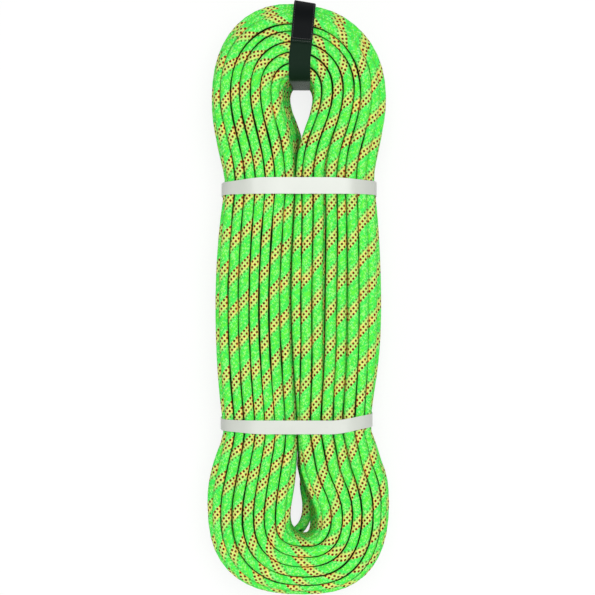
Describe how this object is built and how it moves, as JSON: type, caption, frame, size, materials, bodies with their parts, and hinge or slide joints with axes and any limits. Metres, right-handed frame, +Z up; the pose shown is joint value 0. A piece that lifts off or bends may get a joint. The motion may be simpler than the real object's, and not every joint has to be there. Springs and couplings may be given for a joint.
{
  "type": "dynamic climbing rope hank",
  "caption": "Kernmantle climbing rope wound into a long hank, held by two plastic bands round its waist, with a webbing strap and peel-up flap through the upper eye.",
  "frame": {"origin": "centre of the hank's outline, on the surface that its back lies on", "axes": "+X across the hank to the right, +Y along it towards the strap, +Z up through its thickness, out of its front"},
  "size_m": [0.1724, 0.5674, 0.0982],
  "materials": {
    "rope_sheath": "neon green braided nylon sheath with a yellow and maroon tracer",
    "rope_sheath_shaded": "the same sheath, deep in the hank",
    "end_sleeve": "black heat-shrunk sleeve",
    "band_plastic": "satin white plastic band",
    "webbing": "black woven nylon webbing",
    "loop_fabric": "black looped pile",
    "hook_tape": "black hook tape",
    "label_fabric": "smooth black woven label, bare"
  },
  "bodies": {
    "hank": {"rope_outer_turns": "rope_sheath", "rope_inner_turns": "rope_sheath_shaded", "rope_end_sleeve": "end_sleeve", "upper_band": "band_plastic", "lower_band": "band_plastic", "strap_webbing": "webbing", "strap_loop_patch": "loop_fabric"},
    "flap": {"strap_flap": "webbing", "strap_hook_patch": "hook_tape", "strap_label": "label_fabric"}
  },
  "joints": [
    {"name": "flap_peel", "type": "hinge", "parent": "hank", "child": "flap", "pos_m": [0.00635, 0.2762, 0.08941], "axis": [-1, 0, 0], "range_deg": [0, 110]}
  ]
}
